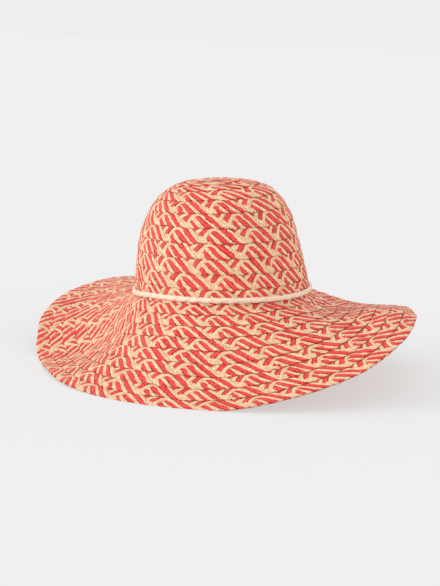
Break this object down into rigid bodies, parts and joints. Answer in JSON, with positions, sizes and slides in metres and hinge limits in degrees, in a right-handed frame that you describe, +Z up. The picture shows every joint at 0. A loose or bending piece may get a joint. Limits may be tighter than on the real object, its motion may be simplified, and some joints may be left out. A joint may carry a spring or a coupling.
{
  "type": "floppy straw sun hat",
  "caption": "Wide-brimmed soft straw sun hat of two-tone spiral plait, with a rounded crown, a wavy drooping brim and a cotton cord round the crown.",
  "frame": {"origin": "centre of the bounding box at the surface the rim rests on", "axes": "+Z up through the crown, -Y towards the side that the picture shows, +X to the right in the picture"},
  "size_m": [0.386, 0.4004, 0.1896],
  "materials": {
    "straw_plait": "matt plaited straw, coral red and natural strands",
    "cotton_cord": "matt twisted cotton, cream"
  },
  "bodies": {
    "root": {"crown": "straw_plait", "brim": "straw_plait", "hat_cord": "cotton_cord"}
  },
  "joints": []
}
